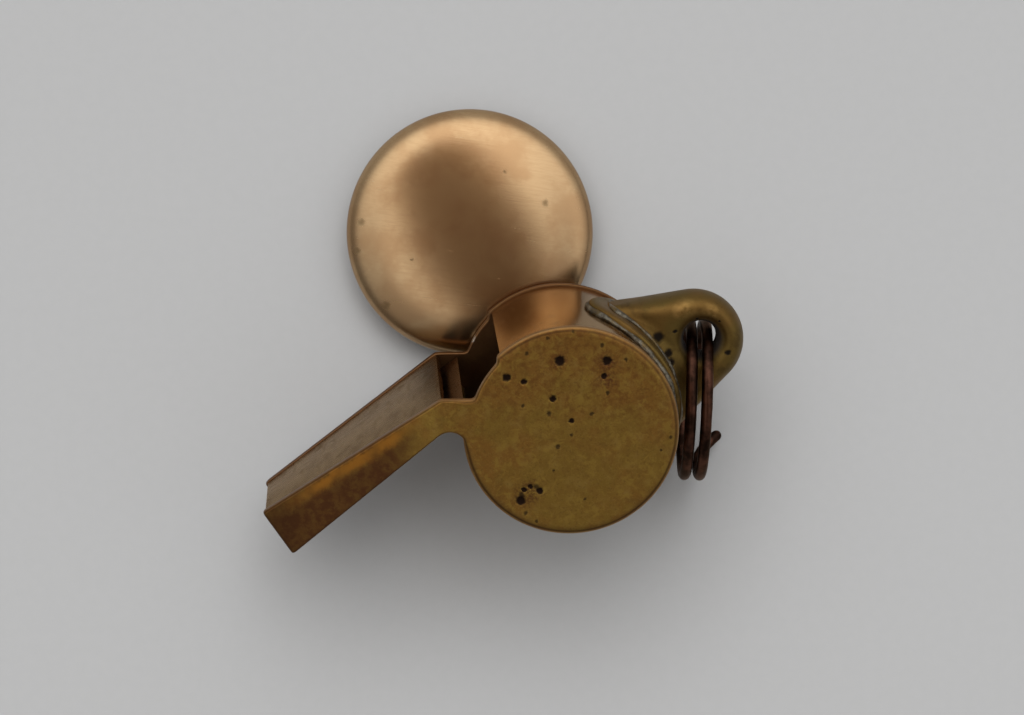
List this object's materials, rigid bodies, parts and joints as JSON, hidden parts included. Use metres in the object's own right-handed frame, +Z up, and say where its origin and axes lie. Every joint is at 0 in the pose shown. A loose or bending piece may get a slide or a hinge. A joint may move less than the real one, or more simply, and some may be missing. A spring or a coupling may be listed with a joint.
{
  "type": "police whistle",
  "caption": "Small brass pea whistle with a plated barrel and mouthpiece, a carrying loop and split ring, leaning on the domed button it is carried by.",
  "frame": {"origin": "on the table, below the middle of the whole object's box", "axes": "+Z up from the table; +X to the right of the picture, from mouthpiece to loop; +Y up the picture, towards the button"},
  "size_m": [0.0468, 0.0438, 0.0227],
  "materials": {
    "brass": "worn satin, tarnished and pitted",
    "plating": "worn bright nickel plate",
    "gilt": "satin gilt",
    "copper": "dark copper-brown tarnish",
    "cork": "matt cork"
  },
  "bodies": {
    "whistle": {"near_side_plate": "brass", "far_side_plate": "brass", "barrel_band": "plating", "mouthpiece_top_plate": "plating", "mouthpiece_floor_plate": "brass", "windway_block": "plating", "loop_base": "brass", "carry_loop": "brass", "button_tab": "brass"},
    "pea": {"cork_pea": "cork"},
    "ring": {"split_ring": "copper"},
    "button": {"button_front_shell": "gilt", "button_back_plate": "brass", "button_shank": "brass"}
  },
  "joints": [
    {"name": "pea_roll", "type": "hinge", "parent": "whistle", "child": "pea", "pos_m": [0.00605, -0.00786, 0.01135], "axis": [0.0566, -0.2663, 0.9622], "continuous": true},
    {"name": "ring_swing", "type": "hinge", "parent": "whistle", "child": "ring", "pos_m": [0.0191, -0.00097, 0.01249], "axis": [0.0566, -0.2663, 0.9622], "range_deg": [0, 185]},
    {"name": "button_turn", "type": "hinge", "parent": "whistle", "child": "button", "pos_m": [-0.00335, 0.00947, 0.0014], "axis": [0, 0, 1], "continuous": true}
  ]
}
